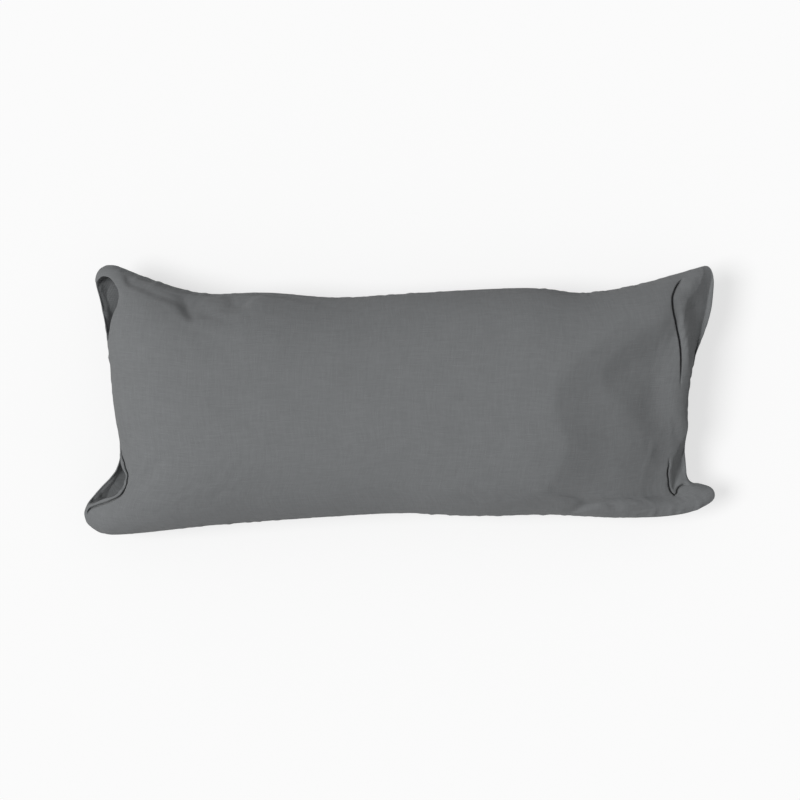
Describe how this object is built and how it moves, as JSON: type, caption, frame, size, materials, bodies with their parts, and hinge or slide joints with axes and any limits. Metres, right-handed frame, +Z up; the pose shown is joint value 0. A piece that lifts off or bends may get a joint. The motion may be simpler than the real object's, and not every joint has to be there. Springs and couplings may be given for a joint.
{
  "type": "long lumbar throw pillow",
  "caption": "Long rectangular throw pillow lying on its back: a stuffed cover of plain woven cloth with a knife-edge seam, drawn-in sides and soft corner ears.",
  "frame": {"origin": "on the surface that the pillow lies on, under the middle of its outline", "axes": "+X along the pillow to its right end, +Y across it to its far side, +Z up out of its face"},
  "size_m": [0.9096, 0.3882, 0.176],
  "materials": {
    "cover_cloth": "matt charcoal-grey plain-woven cotton and linen cloth"
  },
  "bodies": {
    "root": {"pillow": "cover_cloth"}
  },
  "joints": []
}
